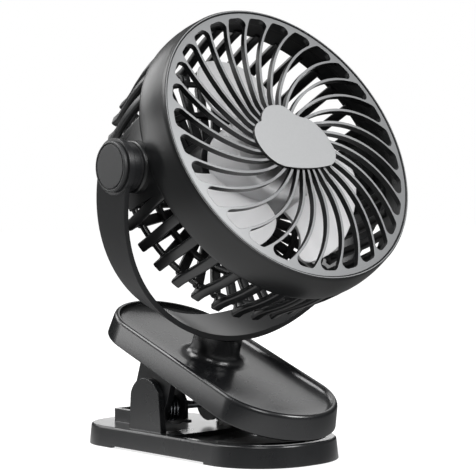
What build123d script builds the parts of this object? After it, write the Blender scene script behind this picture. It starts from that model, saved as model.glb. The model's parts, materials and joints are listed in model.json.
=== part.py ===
"""Clip fan: a fan head in a yoke, which turns on the upper jaw of a sprung clip.

Millimetres, +Z up. The origin is the middle of the lower jaw's underside. The fan faces -Y, and the
clip's hinge pin and the head's tilt axle both lie along X.
"""

from build123d import *
import math
import os

os.makedirs("parts", exist_ok=True)

# Lower jaw
base_length = 153.0
base_width = 71.5
base_height = 10.5
base_nose_radius = 33.0
base_heel_radius = 27.0
base_draft = 6.0
base_wall = 2.2
base_skin = 2.0
base_edge_radius = 1.2
underside_relief = 1.0
nose_length = 39.0
heel_length = 38.0
plate_thickness = 2.0
foot_pad_margin = 8.0
foot_pad_side = 13.75

# Recess and grip pad of the lower jaw
recess_length = 64.0
recess_depth = 2.0
recess_rim = 3.6
grip_length = 29.0
grip_proud = 0.5
grip_margin = 2.5

# Hinge of the clip
hinge_y = 15.5
hinge_z = 21.5
pin_radius = 2.0
ear_set_in = 4.75
ear_thickness = 3.5
ear_foot_half = 13.6
ear_top_half = 11.8
ear_shoulder_z = 29.0
ear_top_z = 37.4
jaw_ear_front = 11.3
jaw_ear_rear = 15.9
jaw_ear_radius = 9.8
jaw_ear_taper_start = 8.0

# Spring drums and torsion springs
drum_core_radius = 5.2
drum_flange_radius = 9.2
drum_flange_thickness = 2.0
drum_length = 13.25
tab_size = 1.4
tab_reach = 5.6
tab_high = 3.0
tab_low = -6.8
wire_radius = 0.8
coil_radius = 6.6
coil_turns = 4
coil_pitch = 2.2

# Stop block behind the hinge
block_side = 16.75
block_length = 18.0
block_height = 7.0
block_wall = 2.2
block_y = 51.0

# Upper jaw
jaw_tilt = 20.2
jaw_tip_gap = 1.6
jaw_length = 150.7
jaw_width = 67.9
jaw_thickness = 11.9
jaw_draft = 8.0
jaw_wall = 2.0
jaw_skin = 1.6
jaw_edge_radius = 0.9
dish_rim = 2.0
dish_slope = 10.0
dish_depth = 4.2
cover_inset = 0.3
cover_thickness = 1.9
upper_grip_length = 38.0
upper_grip_front = 6.0
upper_grip_thickness = 3.4
upper_grip_side = 5.0

# Things inside the upper jaw
battery_length = 46.0
battery_side = 15.95
battery_thickness = 3.6
battery_front = 22.0
board_length = 30.0
board_width = 15.0
board_thickness = 1.2
board_middle = 103.0
board_gap = 2.74
pocket_width = 6.4
pocket_height = 5.7
port_width = 8.9
port_height = 3.2
port_length = 8.0
port_step = -8.0
light_radius = 1.1
light_step = 0.5
button_length = 9.0
button_height = 4.4
button_step = 9.0
button_proud = 0.9
button_travel = 0.6
button_flange = 0.45
switch_size = 3.2

# Swivel post and yoke
post_y = 81.5
post_radius = 12.5
post_top = 21.5
post_fillet = 1.8
stub_radius = 7.0
stub_end = 6.0
swivel_washer_radius = 10.0
swivel_washer_thickness = 1.1
swivel_screw_radius = 1.5
swivel_screw_length = 10.0
swivel_head_radius = 3.4
swivel_head_height = 1.5
saddle_disc = 1.2
yoke_clearance = 4.276
yoke_thickness = 2.6
yoke_arm_half = 11.5
yoke_saddle_half = 15.0
yoke_flare_start = 56.0
eye_radius = 13.2
eye_boss_radius = 11.8
eye_boss_step = 4.9
eye_face_step = 2.9

# Pivots of the head
pivot_radius = 5.0
pivot_bore_radius = 3.2
pivot_end_step = 2.0
knob_radius = 11.7
knob_thickness = 2.0
knob_groove_radius = 10.4
knob_groove_width = 0.7
knob_groove_depth = 0.5
knob_spigot_length = 4.0
pivot_washer_thickness = 1.2
clip_radius = 7.6
clip_thickness = 1.0
clip_groove_depth = 0.9

# Head: radii about its axis, depths behind the rim's front plane
head_lift = 44.5
head_face = 30.0
rim_radius = 73.0
belly_swell = 1.9
belly_depth = 13.0
waist_swell = 0.7
waist_depth = 30.0
flank_step = 0.7
flank_depth = 40.0
shoulder_step = 3.2
shoulder_depth = 50.0
cage_depth = 61.5
knuckle_step = 8.3
knuckle_bend = 4.9
shell_wall = 2.4
band_depth = 20.0
lip_width = 1.6
ledge_depth = 5.2
ledge_width = 3.4
ledge_thickness = 2.0
boss_radius = 12.5
boss_gap = 1.3
boss_set_in = 2.5
panel_half_angle = 15.0
bar_count = 36
bar_width = 3.8
bar_height = 3.4
spoke_thickness = 3.6
outer_ring_width = 2.8
ring_set_in = 0.4
middle_ring_step = 28.0
middle_ring_width = 3.2
hub_plate_radius = 30.0

# Front grille and badge
grille_gap = 0.2
grille_rim_width = 2.8
grille_hub_radius = 14.0
grille_thickness = 3.0
grille_crown = 1.2
grille_sink = 0.6
grille_flat_radius = 26.0
rib_count = 30
rib_width = 1.5
rib_phase = -0.5
rib_mid_radius = 42.0
rib_mid_turn = -18.6
rib_inner_turn = -43.0
slot_corner_radius = 3.0
badge_thickness = 1.5

# Fan and motor
blade_count = 3
blade_phase = 2.0
blade_tip_step = 15.0
blade_thickness = 1.6
blade_middle_depth = 28.0
blade_pitch = 77.0
blade_cup = 2.0
blade_outline = (
    (-0.10, -31.0), (0.02, -35.5), (0.19, -41.5), (0.31, -42.4), (0.43, -41.2), (0.61, -37.2),
    (0.76, -32.6), (0.89, -27.0), (0.98, -20.0), (1.00, -12.0), (1.00, 4.0), (0.99, 17.0),
    (0.94, 28.0), (0.87, 37.0), (0.78, 42.6), (0.69, 43.4), (0.59, 40.0), (0.47, 34.8),
    (0.33, 31.4), (0.17, 30.0), (-0.10, 30.0),
)
fan_hub_radius = 25.4
fan_hub_wall = 1.6
fan_hub_front = 12.0
fan_hub_rear = 35.3
fan_hub_fillet = 3.0
bush_radius = 3.2
bush_length = 8.0
shaft_radius = 1.0
shaft_front_depth = 14.0
shaft_rear_depth = 50.0
motor_radius = 12.5
motor_front_depth = 22.0
motor_rear_depth = 46.0
motor_cap_thickness = 3.0
pod_wall = 3.0
pod_front_depth = 31.0
pod_drum_radius = 27.0
pod_drum_front = 38.5
pod_flange_thickness = 3.0
driver_depth = 52.0
driver_radius = 14.0
driver_thickness = 1.2
hub_cap_thickness = 2.0
pod_screw_circle = 18.2
pod_screw_count = 3

# Screws of both jaws
screw_radius = 1.2
screw_head_radius = 2.4
screw_head_height = 1.1
screw_length = 4.6
screw_boss_radius = 2.9
base_screw_set_in = 11.75
base_screw_front = -52.0
base_screw_rear = 56.0
jaw_screw_set_in = 7.45
jaw_screw_front = 30.0
jaw_screw_back = 24.7

# Clearances
running = 0.05
seat = 0.3
slide = 0.15

# Sizes that follow from the ones above
belly_radius = rim_radius + belly_swell
waist_radius = rim_radius + waist_swell
flank_radius = rim_radius - flank_step
shoulder_radius = rim_radius - shoulder_step
knuckle_radius = rim_radius - knuckle_step
knuckle_depth = cage_depth - knuckle_bend
knuckle_bore = knuckle_bend - bar_height
leg_out_radius = knuckle_radius - knuckle_bore
leg_in_radius = knuckle_radius - knuckle_bend
leg_end_depth = knuckle_depth - spoke_thickness
middle_ring_radius = rim_radius - middle_ring_step
grille_radius = rim_radius - lip_width - grille_gap
blade_tip_radius = rim_radius - blade_tip_step
yoke_inner_radius = math.hypot(rim_radius, head_face) + yoke_clearance
yoke_outer_radius = yoke_inner_radius + yoke_thickness
saddle_level = post_top + saddle_disc
axle_height = saddle_level + yoke_outer_radius
eye_inner_x = yoke_inner_radius - eye_boss_step
eye_outer_x = yoke_inner_radius + eye_face_step
knob_face_x = eye_outer_x + knob_thickness
boss_outer_x = eye_inner_x - boss_gap
boss_inner_x = rim_radius - boss_set_in
pivot_inner_x = boss_inner_x - pivot_end_step
ear_outer_x = base_width / 2 - ear_set_in
base_screw_x = base_width / 2 - base_screw_set_in
jaw_screw_x = jaw_width / 2 - jaw_screw_set_in
jaw_screw_rear = jaw_length - jaw_screw_back


# Frames
def frame_at(frame, x=0.0, y=0.0, z=0.0):
    """The same frame, moved by a step given in its own directions."""
    return Plane(origin=frame.from_local_coords((x, y, z)), x_dir=frame.x_dir, z_dir=frame.z_dir)


def side_plane(frame, x=0.0):
    """Sketch plane across the frame's x: the sketch's axes are the frame's y and z."""
    return Plane(origin=frame.from_local_coords((x, 0, 0)), x_dir=frame.y_dir, z_dir=frame.x_dir)


def front_plane(frame, y=0.0):
    """Sketch plane across the frame's y: the sketch's axes are the frame's x and z."""
    return Plane(origin=frame.from_local_coords((0, y, 0)), x_dir=frame.x_dir, z_dir=-frame.y_dir)


def tilted_normal(angle):
    """Unit vector that leans from +Z towards -Y by the angle."""
    lean = math.radians(angle)
    return (0, -math.sin(lean), math.cos(lean))


base_frame = Plane.XY
hinge_frame = frame_at(base_frame, y=hinge_y, z=hinge_z)
jaw_tip = (0, -base_length / 2, base_height + jaw_tip_gap)
jaw_frame = Plane(origin=jaw_tip, x_dir=(1, 0, 0), z_dir=tilted_normal(jaw_tilt))
jaw_middle = frame_at(jaw_frame, y=jaw_length / 2)
jaw_hinge_frame = Plane(origin=hinge_frame.origin, x_dir=(1, 0, 0), z_dir=tilted_normal(jaw_tilt))
hinge_drop = jaw_frame.to_local_coords(hinge_frame.origin).Z
swivel_frame = frame_at(jaw_frame, y=post_y)
yoke_frame = frame_at(swivel_frame, z=axle_height)
head_frame = Plane(
    origin=yoke_frame.origin, x_dir=(1, 0, 0), z_dir=tilted_normal(jaw_tilt + head_lift)
)
head_axis = Axis(head_frame.origin, head_frame.z_dir)


def jaw_outline(length, width, front_radius, rear_radius):
    """Plan outline of a jaw about its middle, with its own corner radii in front and behind."""
    widest = width / 2 - 0.02
    Rectangle(width, length)
    fillet(vertices().group_by(Axis.Y)[0], min(front_radius, widest))
    fillet(vertices().group_by(Axis.Y)[-1], min(rear_radius, widest))


def draft_inset(height, angle):
    return height * math.tan(math.radians(angle))


# Lower jaw
recess_floor = base_height - recess_depth
cavity_height = recess_floor - base_skin
top_inset = draft_inset(base_height, base_draft)
recess_width = base_width - 2 * (top_inset + recess_rim)
recess_middle_y = -base_length / 2 + top_inset + recess_rim + recess_length / 2
ear_inner_x = ear_outer_x - ear_thickness
pin_half = ear_inner_x + ear_thickness * 0.65
plate_bottom = underside_relief
block_width = base_width - 2 * block_side
foot_pad_length = base_length - nose_length - heel_length - 2 * foot_pad_margin
foot_pad_width = base_width - 2 * foot_pad_side
base_screws_at = [
    (sign * base_screw_x, y) for sign in (-1, 1) for y in (base_screw_front, base_screw_rear)
]


def ear_profile():
    """Side outline of a lower ear: tapered sides and a round top."""
    with BuildLine() as outline:
        Line((hinge_y - ear_top_half, ear_shoulder_z), (hinge_y - ear_foot_half, recess_floor))
        Line((hinge_y - ear_foot_half, recess_floor), (hinge_y + ear_foot_half, recess_floor))
        Line((hinge_y + ear_foot_half, recess_floor), (hinge_y + ear_top_half, ear_shoulder_z))
        ThreePointArc(
            (hinge_y + ear_top_half, ear_shoulder_z),
            (hinge_y, ear_top_z),
            (hinge_y - ear_top_half, ear_shoulder_z),
        )
    make_face(outline.edges())


with BuildPart() as base_shell:
    with BuildSketch(Plane.XY):
        jaw_outline(base_length, base_width, base_nose_radius, base_heel_radius)
    extrude(amount=base_height, taper=base_draft)
    fillet(edges().group_by(Axis.Z)[-1], base_edge_radius)
    with BuildSketch(Plane.XY.offset(base_height)):
        with Locations((0, recess_middle_y)):
            Rectangle(recess_width, recess_length)
        front_corners = vertices().group_by(Axis.Y)[0]
        fillet(front_corners, min(base_nose_radius, recess_width / 2 - 0.02))
    extrude(amount=-recess_depth, mode=Mode.SUBTRACT)
    with BuildSketch(Plane.XY):
        jaw_outline(
            base_length - 2 * base_wall,
            base_width - 2 * base_wall,
            base_nose_radius - base_wall,
            base_heel_radius - base_wall,
        )
    extrude(amount=cavity_height, taper=base_draft, mode=Mode.SUBTRACT)
    with BuildSketch(Plane.XY.offset(plate_bottom + plate_thickness)):
        with Locations(*base_screws_at):
            Circle(screw_boss_radius)
    extrude(amount=cavity_height - plate_bottom - plate_thickness + base_skin / 2)
    with BuildSketch(Plane.XY.offset(plate_bottom)):
        with Locations(*base_screws_at):
            Circle(screw_radius + running)
    extrude(amount=screw_length, mode=Mode.SUBTRACT)
    with BuildSketch(Plane.XY):
        with Locations((0, (nose_length - heel_length) / 2)):
            Rectangle(2 * base_width, base_length - nose_length - heel_length)
    extrude(amount=underside_relief, mode=Mode.SUBTRACT)
    for inner_x in (ear_inner_x, -ear_outer_x):
        with BuildSketch(side_plane(base_frame, inner_x)):
            ear_profile()
        extrude(amount=ear_thickness)
    with BuildSketch(side_plane(hinge_frame, -pin_half)):
        Circle(pin_radius)
    extrude(amount=2 * pin_half, mode=Mode.SUBTRACT)
    with BuildSketch(Plane.XY.offset(base_height - base_skin)):
        with Locations((0, block_y)):
            RectangleRounded(block_width, block_length, block_wall)
    extrude(amount=block_height + base_skin)
    with BuildSketch(Plane.XY.offset(base_height)):
        with Locations((0, block_y)):
            Rectangle(block_width - 2 * block_wall, block_length - 2 * block_wall)
    extrude(amount=block_height, mode=Mode.SUBTRACT)
base_shell.part.label = "base_shell"
export_step(base_shell.part, "parts/base_shell.step")

plate_inset = base_wall + seat + draft_inset(plate_bottom + plate_thickness, base_draft)
with BuildPart() as base_plate:
    with BuildSketch(Plane.XY.offset(plate_bottom)):
        jaw_outline(
            base_length - 2 * plate_inset,
            base_width - 2 * plate_inset,
            base_nose_radius - plate_inset,
            base_heel_radius - plate_inset,
        )
    extrude(amount=plate_thickness)
    with BuildSketch(Plane.XY.offset(plate_bottom)):
        with Locations(*base_screws_at):
            Circle(screw_radius + running)
    extrude(amount=plate_thickness, mode=Mode.SUBTRACT)
    with BuildSketch(Plane.XY.offset(plate_bottom)):
        with Locations(*base_screws_at):
            Circle(screw_head_radius + slide)
    extrude(amount=screw_head_height, mode=Mode.SUBTRACT)
base_plate.part.label = "base_plate"
export_step(base_plate.part, "parts/base_plate.step")


def screw_set(frame, places, length):
    """Pan-head screws that point along the frame's +z, with their heads at its origin plane."""
    with BuildSketch(frame) as heads:
        with Locations(*places):
            Circle(screw_head_radius)
    extrude(heads.sketch, amount=screw_head_height)
    with BuildSketch(frame) as shanks:
        with Locations(*places):
            Circle(screw_radius)
    extrude(shanks.sketch, amount=length)


with BuildPart() as base_screws:
    screw_set(Plane.XY.offset(plate_bottom), base_screws_at, screw_length)
base_screws.part.label = "base_screws"
export_step(base_screws.part, "parts/base_screws.step")

with BuildPart() as foot_pad:
    with BuildSketch(Plane.XY):
        RectangleRounded(foot_pad_width, foot_pad_length, 4)
    extrude(amount=plate_bottom)
foot_pad.part.label = "foot_pad"
export_step(foot_pad.part, "parts/foot_pad.step")

grip_front_y = recess_middle_y - recess_length / 2 + grip_margin
grip_width = recess_width - 2 * grip_margin
with BuildPart() as lower_grip_pad:
    with BuildSketch(Plane.XY.offset(recess_floor)):
        with Locations((0, grip_front_y + grip_length / 2)):
            Rectangle(grip_width, grip_length)
        pad_corners = vertices().group_by(Axis.Y)[0]
        fillet(pad_corners, min(base_nose_radius - grip_margin, grip_width / 2, grip_length) - 0.1)
    extrude(amount=recess_depth + grip_proud)
lower_grip_pad.part.label = "lower_grip_pad"
export_step(lower_grip_pad.part, "parts/lower_grip_pad.step")

with BuildPart() as hinge_pin:
    with BuildSketch(side_plane(hinge_frame, -pin_half)):
        Circle(pin_radius)
    extrude(amount=2 * pin_half)
    chamfer(edges().filter_by(GeomType.CIRCLE), pin_radius * 0.15)
hinge_pin.part.label = "hinge_pin"
export_step(hinge_pin.part, "parts/hinge_pin.step")

jaw_ear_outer_x = ear_inner_x - seat - slide
jaw_ear_inner_x = jaw_ear_outer_x - ear_thickness
drum_outer_x = jaw_ear_inner_x - seat
drum_inner_x = drum_outer_x - drum_length


def spring_drum(side):
    """Flanged drum on the hinge pin; side is -1 or 1. Two tabs stand forward from its flange."""
    core_x = min(side * drum_outer_x, side * drum_inner_x)
    flange_x = min(side * drum_inner_x, side * (drum_inner_x + drum_flange_thickness))
    with BuildSketch(side_plane(hinge_frame, core_x)) as core:
        Circle(drum_core_radius)
    extrude(core.sketch, amount=drum_outer_x - drum_inner_x)
    with BuildSketch(side_plane(hinge_frame, flange_x)) as flange:
        Circle(drum_flange_radius)
        for tab_z in (tab_high, tab_low):
            reach = math.sqrt(drum_flange_radius**2 - tab_z**2)
            with Locations((-reach - tab_reach / 2 + tab_size, tab_z)):
                Rectangle(tab_reach + 2 * tab_size, tab_size)
    extrude(flange.sketch, amount=drum_flange_thickness)
    with BuildSketch(side_plane(hinge_frame, core_x)) as bore:
        Circle(pin_radius + running)
    extrude(bore.sketch, amount=drum_outer_x - drum_inner_x, mode=Mode.SUBTRACT)


with BuildPart() as left_spring_drum:
    spring_drum(-1)
left_spring_drum.part.label = "left_spring_drum"
export_step(left_spring_drum.part, "parts/left_spring_drum.step")

with BuildPart() as right_spring_drum:
    spring_drum(1)
right_spring_drum.part.label = "right_spring_drum"
export_step(right_spring_drum.part, "parts/right_spring_drum.step")


# Torsion springs: a coil about the pin, with both legs behind it
def coil_point(side, start_x, turn):
    """Point and direction on the coil after the given turn in radians."""
    across = start_x - side * coil_pitch * turn / (2 * math.pi)
    point = Vector(across, hinge_y + coil_radius * math.cos(turn), hinge_z + coil_radius * math.sin(turn))
    slope = -side * coil_pitch / (2 * math.pi * coil_radius)
    heading = Vector(slope, -math.sin(turn), math.cos(turn)).normalized()
    return point, heading


def biarc(start, start_heading, end, end_heading):
    """Two arcs from start to end that meet in line and keep both given headings."""
    gap = end - start
    both = start_heading + end_heading
    square = 2 * (1 - start_heading.dot(end_heading))
    along = gap.dot(both)
    root = math.sqrt(along**2 + square * gap.dot(gap))
    reach = gap.dot(gap) / (along + root)
    first = start + start_heading * reach
    second = end - end_heading * reach
    joint = (first + second) * 0.5
    TangentArc(start, joint, tangent=start_heading)
    TangentArc(joint, end, tangent=(second - first).normalized())


def torsion_spring(side):
    start_x = side * (drum_outer_x - wire_radius - seat)
    whole = 2 * math.pi * coil_turns + math.radians(jaw_tilt)
    steps = 4 * coil_turns + 1
    down = Vector(0, 0, 1)
    up = Vector(*tilted_normal(jaw_tilt))
    stations = [coil_point(side, start_x, whole * step / steps) for step in range(steps + 1)]
    stations[0] = (stations[0][0], down)
    stations[-1] = (stations[-1][0], up)
    foot_length = hinge_z - base_height - seat
    head_length = -hinge_drop - seat + cover_inset
    foot = stations[0][0] - down * foot_length
    head = stations[-1][0] + up * head_length
    with BuildLine() as path:
        Line(foot, stations[0][0])
        for (start, start_heading), (end, end_heading) in zip(stations, stations[1:]):
            biarc(start, start_heading, end, end_heading)
        Line(stations[-1][0], head)
    with BuildSketch(Plane(origin=foot, z_dir=(0, 0, 1))) as wire:
        Circle(wire_radius)
    sweep(wire.sketch, path=path.line)
    return path.wire()


def least_gap(wire_path):
    """Least clear distance between points of the wire that lie more than half a turn apart."""
    count = 60 * coil_turns
    spacing = wire_path.length / count
    apart = math.ceil(math.pi * coil_radius / spacing)
    points = [wire_path.position_at(step / count) for step in range(count + 1)]
    distances = [
        (points[first] - points[second]).length
        for first in range(count + 1)
        for second in range(first + apart, count + 1)
    ]
    return min(distances) - 2 * wire_radius


with BuildPart() as left_spring:
    print("spring: least gap to itself", round(least_gap(torsion_spring(-1)), 2))
left_spring.part.label = "left_spring"
export_step(left_spring.part, "parts/left_spring.step")

with BuildPart() as right_spring:
    torsion_spring(1)
right_spring.part.label = "right_spring"
export_step(right_spring.part, "parts/right_spring.step")

# Upper jaw
jaw_top_inset = draft_inset(jaw_thickness, jaw_draft)
dish_floor = jaw_thickness - dish_depth
jaw_cavity_top = dish_floor - jaw_skin
cover_bottom = cover_inset
cover_top = cover_bottom + cover_thickness
wall_x = jaw_width / 2
pocket_middle = cover_top + pocket_height / 2
wall_outer_x = wall_x - draft_inset(pocket_middle, jaw_draft)
wall_inner_x = wall_outer_x - jaw_wall
jaw_screws_at = [
    (sign * jaw_screw_x, y - jaw_length / 2) for sign in (-1, 1) for y in (jaw_screw_front, jaw_screw_rear)
]
board_plane_x = wall_inner_x - pocket_width
port_y = board_middle + port_step
light_y = board_middle + light_step
button_y = board_middle + button_step


def jaw_plan(inset):
    """Round-ended outline of the upper jaw, drawn in all round by the inset."""
    SlotOverall(jaw_length - 2 * inset, jaw_width - 2 * inset, rotation=90)


with BuildPart() as jaw_shell:
    with BuildSketch(jaw_middle):
        jaw_plan(0)
    extrude(amount=jaw_thickness, taper=jaw_draft)
    jaw_axis = Axis(jaw_middle.origin, jaw_middle.z_dir)
    fillet(edges().group_by(jaw_axis)[-1], jaw_edge_radius)
    with BuildSketch(frame_at(jaw_middle, z=jaw_thickness)):
        jaw_plan(jaw_top_inset + dish_rim)
    with BuildSketch(frame_at(jaw_middle, z=dish_floor)):
        jaw_plan(jaw_top_inset + dish_rim + dish_slope)
    loft(ruled=True, mode=Mode.SUBTRACT)
    with BuildSketch(frame_at(swivel_frame, z=jaw_cavity_top)):
        Circle(post_radius)
    extrude(amount=post_top - jaw_cavity_top)
    post_foot = edges().filter_by(GeomType.CIRCLE).filter_by(
        lambda edge: abs(edge.radius - post_radius) < 0.01
        and abs(swivel_frame.to_local_coords(edge.arc_center).Z - dish_floor) < 0.01
    )
    fillet(post_foot, post_fillet)
    with BuildSketch(jaw_middle):
        jaw_plan(jaw_wall)
    extrude(amount=jaw_cavity_top, taper=jaw_draft, mode=Mode.SUBTRACT)
    with BuildSketch(frame_at(jaw_middle, z=cover_top)):
        with Locations(*jaw_screws_at):
            Circle(screw_boss_radius)
    extrude(amount=jaw_cavity_top - cover_top + jaw_skin / 2)
    with BuildSketch(frame_at(jaw_middle, z=cover_bottom)):
        with Locations(*jaw_screws_at):
            Circle(screw_radius + running)
    extrude(amount=screw_length + screw_head_height, mode=Mode.SUBTRACT)
    with BuildSketch(swivel_frame):
        Circle(stub_radius + running)
    extrude(amount=post_top, mode=Mode.SUBTRACT)
    with BuildSketch(frame_at(jaw_frame, x=board_plane_x + pocket_width / 2, y=board_middle)):
        Rectangle(pocket_width, board_length + 2 * seat)
    extrude(amount=cover_top + pocket_height, mode=Mode.SUBTRACT)
    with BuildSketch(side_plane(jaw_frame, board_plane_x)):
        with Locations((port_y, pocket_middle)):
            SlotOverall(port_width + 2 * slide, port_height + 2 * slide)
        with Locations((light_y, pocket_middle)):
            Circle(light_radius)
        with Locations((button_y, pocket_middle)):
            SlotOverall(button_length + 2 * slide, button_height + 2 * slide)
    extrude(amount=jaw_wall * 2 + pocket_width, mode=Mode.SUBTRACT)
jaw_shell.part.label = "jaw_shell"
export_step(jaw_shell.part, "parts/jaw_shell.step")


def jaw_ear_profile():
    """Side outline of an upper ear in the hinge's tilted frame: straight sides down to a round end."""
    root_z = -hinge_drop + cover_top
    with BuildLine() as outline:
        Polyline(
            (-jaw_ear_radius, 0),
            (-jaw_ear_front, jaw_ear_taper_start),
            (-jaw_ear_front, root_z),
            (jaw_ear_rear, root_z),
            (jaw_ear_rear, jaw_ear_taper_start),
            (jaw_ear_radius, 0),
        )
        ThreePointArc((jaw_ear_radius, 0), (0, -jaw_ear_radius), (-jaw_ear_radius, 0))
    make_face(outline.edges())


cover_edge = jaw_wall + seat + draft_inset(cover_top, jaw_draft)
with BuildPart() as jaw_underside:
    with BuildSketch(frame_at(jaw_middle, z=cover_bottom)):
        jaw_plan(cover_edge)
    extrude(amount=cover_thickness)
    for ear_x in (jaw_ear_inner_x, -jaw_ear_outer_x):
        with BuildSketch(side_plane(jaw_hinge_frame, ear_x)):
            jaw_ear_profile()
        extrude(amount=ear_thickness)
    with BuildSketch(side_plane(hinge_frame, -jaw_ear_outer_x)):
        Circle(pin_radius + running)
    extrude(amount=2 * jaw_ear_outer_x, mode=Mode.SUBTRACT)
    with BuildSketch(frame_at(jaw_middle, z=cover_bottom)):
        with Locations(*jaw_screws_at):
            Circle(screw_radius + running)
    extrude(amount=cover_thickness, mode=Mode.SUBTRACT)
    with BuildSketch(frame_at(jaw_middle, z=cover_bottom)):
        with Locations(*jaw_screws_at):
            Circle(screw_head_radius + slide)
    extrude(amount=screw_head_height, mode=Mode.SUBTRACT)
jaw_underside.part.label = "jaw_underside"
export_step(jaw_underside.part, "parts/jaw_underside.step")

with BuildPart() as jaw_screws:
    screw_set(frame_at(jaw_middle, z=cover_bottom), jaw_screws_at, screw_length + screw_head_height)
jaw_screws.part.label = "jaw_screws"
export_step(jaw_screws.part, "parts/jaw_screws.step")

upper_grip_width = jaw_width - 2 * (jaw_wall + upper_grip_side)
with BuildPart() as upper_grip_pad:
    with BuildSketch(frame_at(jaw_frame, z=cover_bottom - upper_grip_thickness)):
        with Locations((0, upper_grip_front + upper_grip_length / 2)):
            Rectangle(upper_grip_width, upper_grip_length)
        upper_corners = vertices().group_by(Axis.Y)[0]
        fillet(upper_corners, min(upper_grip_width / 2, upper_grip_length) - 0.1)
    extrude(amount=upper_grip_thickness)
upper_grip_pad.part.label = "upper_grip_pad"
export_step(upper_grip_pad.part, "parts/upper_grip_pad.step")

with BuildPart() as battery_cell:
    with BuildSketch(frame_at(jaw_frame, y=battery_front + battery_length / 2, z=cover_top)):
        RectangleRounded(jaw_width - 2 * battery_side, battery_length, 2.5)
    extrude(amount=battery_thickness)
battery_cell.part.label = "battery_cell"
export_step(battery_cell.part, "parts/battery_cell.step")

board_outer_x = wall_inner_x - board_gap
with BuildPart() as charge_board:
    with BuildSketch(frame_at(jaw_frame, x=board_outer_x - board_width / 2, y=board_middle, z=cover_top)):
        Rectangle(board_width, board_length)
    extrude(amount=board_thickness)
charge_board.part.label = "charge_board"
export_step(charge_board.part, "parts/charge_board.step")

board_top = cover_top + board_thickness
port_middle_z = pocket_middle
with BuildPart() as charge_port:
    with BuildSketch(side_plane(jaw_frame, wall_outer_x - port_length)):
        with Locations((port_y, port_middle_z)):
            SlotOverall(port_width, port_height)
        with Locations((port_y, port_middle_z)):
            SlotOverall(port_width - 0.6, port_height - 0.6, mode=Mode.SUBTRACT)
    extrude(amount=port_length)
    with BuildSketch(side_plane(jaw_frame, wall_outer_x - port_length)):
        with Locations((port_y, port_middle_z)):
            SlotOverall(port_width, port_height)
    extrude(amount=1.0)
    with BuildSketch(side_plane(jaw_frame, wall_outer_x - port_length)):
        with Locations((port_y, port_middle_z)):
            Rectangle(port_width * 0.7, 0.7)
    extrude(amount=port_length - 1.0)
    foot_height = port_middle_z - port_height / 2 - board_top + 0.3
    with BuildSketch(frame_at(jaw_frame, x=wall_outer_x - port_length + 1.5, y=port_y, z=board_top)):
        Rectangle(3.0, port_width * 0.5)
    extrude(amount=foot_height)
charge_port.part.label = "charge_port"
export_step(charge_port.part, "parts/charge_port.step")

with BuildPart() as charge_light:
    with BuildSketch(side_plane(jaw_frame, board_outer_x)):
        with Locations((light_y, pocket_middle)):
            Circle(light_radius)
    extrude(amount=wall_outer_x - board_outer_x)
    light_stem = pocket_middle - board_top
    with BuildSketch(frame_at(jaw_frame, x=board_outer_x - light_radius, y=light_y, z=board_top)):
        Rectangle(2 * light_radius, 2 * light_radius)
    extrude(amount=light_stem + light_radius)
charge_light.part.label = "charge_light"
export_step(charge_light.part, "parts/charge_light.step")

# Power button, pushed towards -X against its switch
button_seat_x = wall_outer_x - jaw_wall - slide
switch_face_x = button_seat_x - button_flange - button_travel - seat
with BuildPart() as tact_switch:
    with BuildSketch(frame_at(jaw_frame, x=switch_face_x - switch_size / 2, y=button_y, z=board_top)):
        Rectangle(switch_size, button_length * 0.6)
    extrude(amount=switch_size)
tact_switch.part.label = "tact_switch"
export_step(tact_switch.part, "parts/tact_switch.step")

with BuildPart() as power_button:
    with BuildSketch(side_plane(jaw_frame, button_seat_x)):
        with Locations((button_y, pocket_middle)):
            SlotOverall(button_length, button_height)
    extrude(amount=jaw_wall + slide + button_proud)
    with BuildSketch(side_plane(jaw_frame, button_seat_x - button_flange)):
        with Locations((button_y, pocket_middle)):
            SlotOverall(button_length + 4 * slide, button_height + 4 * slide)
    extrude(amount=button_flange)
power_button.part.label = "power_button"
export_step(power_button.part, "parts/power_button.step")


# Yoke
def yoke_side_profile():
    """Side outline of the yoke: round eye, straight arm and a saddle that flares out below."""
    flare_z = -yoke_flare_start
    foot_z = -yoke_outer_radius - 1
    with BuildLine() as outline:
        Line((-yoke_arm_half, 0), (-yoke_arm_half, flare_z))
        TangentArc((-yoke_arm_half, flare_z), (-yoke_saddle_half, foot_z), tangent=(0, -1))
        Line((-yoke_saddle_half, foot_z), (yoke_saddle_half, foot_z))
        TangentArc((yoke_arm_half, flare_z), (yoke_saddle_half, foot_z), tangent=(0, -1))
        Line((yoke_arm_half, flare_z), (yoke_arm_half, 0))
        Line((yoke_arm_half, 0), (-yoke_arm_half, 0))
    make_face(outline.edges())
    Circle(eye_radius)


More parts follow.
